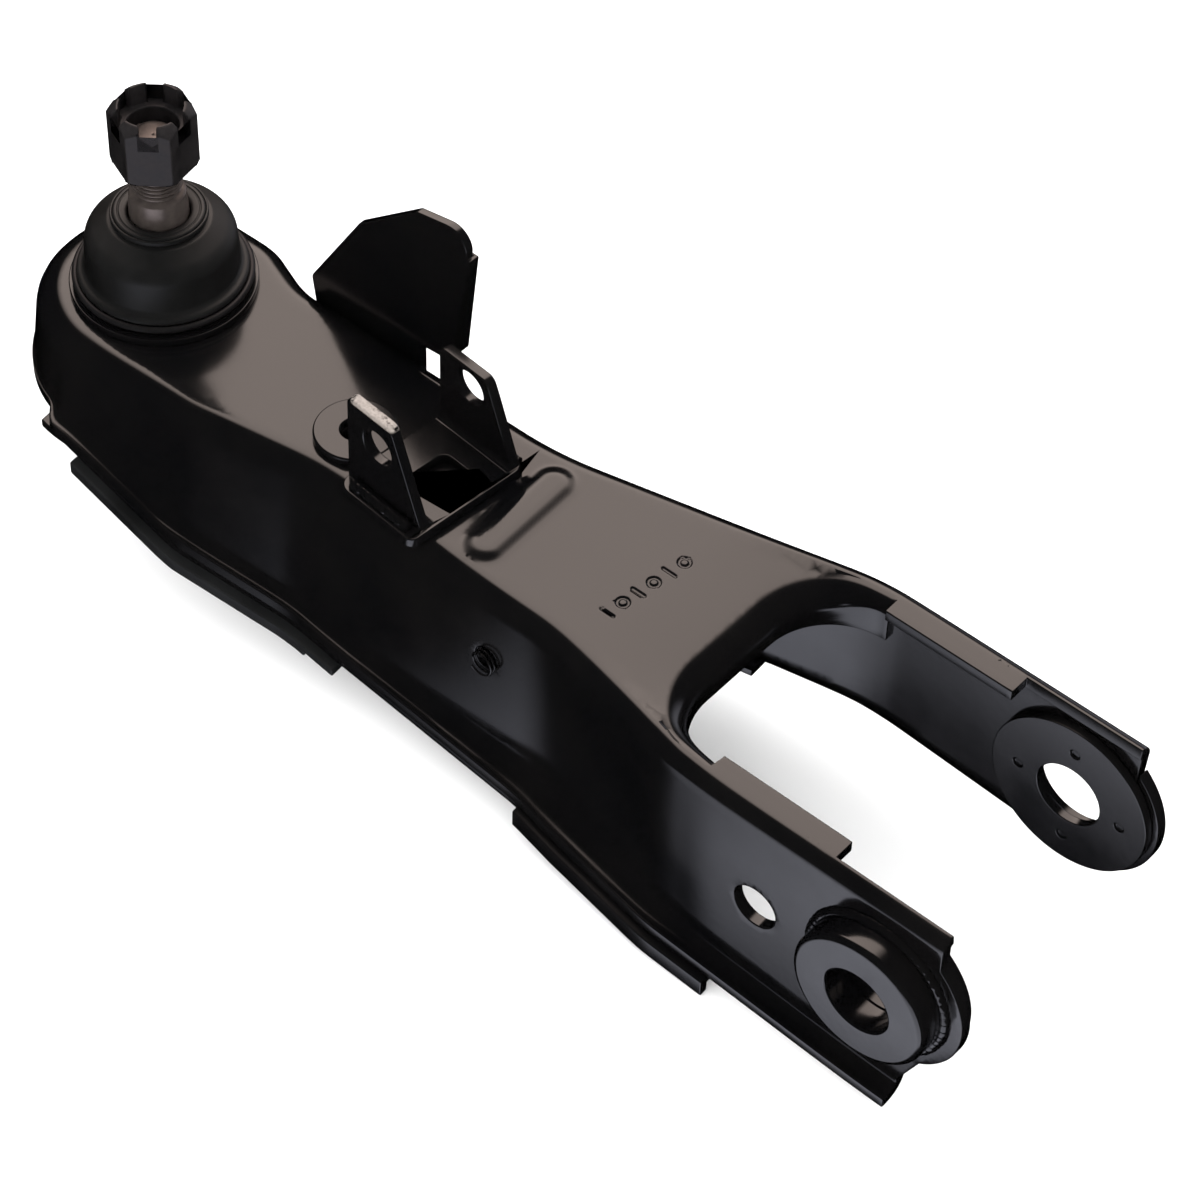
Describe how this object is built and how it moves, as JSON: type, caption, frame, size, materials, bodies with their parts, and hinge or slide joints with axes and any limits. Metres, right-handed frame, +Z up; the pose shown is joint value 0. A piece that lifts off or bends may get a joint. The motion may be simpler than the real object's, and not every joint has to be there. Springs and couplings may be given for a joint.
{
  "type": "lower control arm",
  "caption": "Pressed-steel lower control arm: forked pivot end, sealed ball joint with slotted nut at the other end, U bracket for a shock absorber and an upright stop plate.",
  "frame": {"origin": "middle of the fork's pivot axis, half way between the two ears", "axes": "+X along the arm from the ball joint to the fork, +Y along the pivot axis, +Z up along the ball stud"},
  "size_m": [0.3905, 0.112, 0.1554],
  "materials": {
    "black_paint": "gloss black paint over pressed and welded steel",
    "black_rubber": "satin black moulded rubber",
    "forged_steel": "dark machined steel with a thin film of oil",
    "black_oxide": "dull black oxide",
    "spring_steel": "dark spring steel",
    "bearing_polymer": "off-white bearing polymer"
  },
  "bodies": {
    "arm": {"upper_pressing": "black_paint", "lower_pressing": "black_paint", "reinforcement_plate": "black_paint", "pivot_collar_near": "black_paint", "pivot_pad_near": "black_paint", "pivot_pad_far": "black_paint", "weld_collar_near": "black_paint", "weld_nut": "black_paint", "shock_bracket": "black_paint", "bracket_washer": "black_paint", "weld_bracket_near": "black_paint", "weld_bracket_far": "black_paint", "stop_bracket": "black_paint", "weld_stop_bracket": "black_paint", "ball_housing": "black_paint", "preload_spring": "spring_steel", "cover_plate": "black_paint"},
    "bearing": {"bearing_seat_upper": "bearing_polymer", "bearing_seat_lower": "bearing_polymer", "dust_boot": "black_rubber", "boot_base_ring": "spring_steel"},
    "boot_mouth": {"boot_top_ring": "spring_steel"},
    "stud": {"ball_stud": "forged_steel", "castle_nut": "black_oxide"}
  },
  "joints": [
    {"name": "swing_direction", "type": "hinge", "parent": "arm", "child": "bearing", "pos_m": [-0.319, -0.006, 0.0095], "axis": [0, 0, 1], "continuous": true},
    {"name": "ball_tilt", "type": "hinge", "parent": "bearing", "child": "boot_mouth", "pos_m": [-0.319, -0.006, 0.0095], "axis": [0, 1, 0], "range_deg": [-22, 22], "deforming": ["dust_boot"]},
    {"name": "stud_spin", "type": "hinge", "parent": "boot_mouth", "child": "stud", "pos_m": [-0.319, -0.006, 0.0095], "axis": [0, 0, 1], "continuous": true}
  ]
}
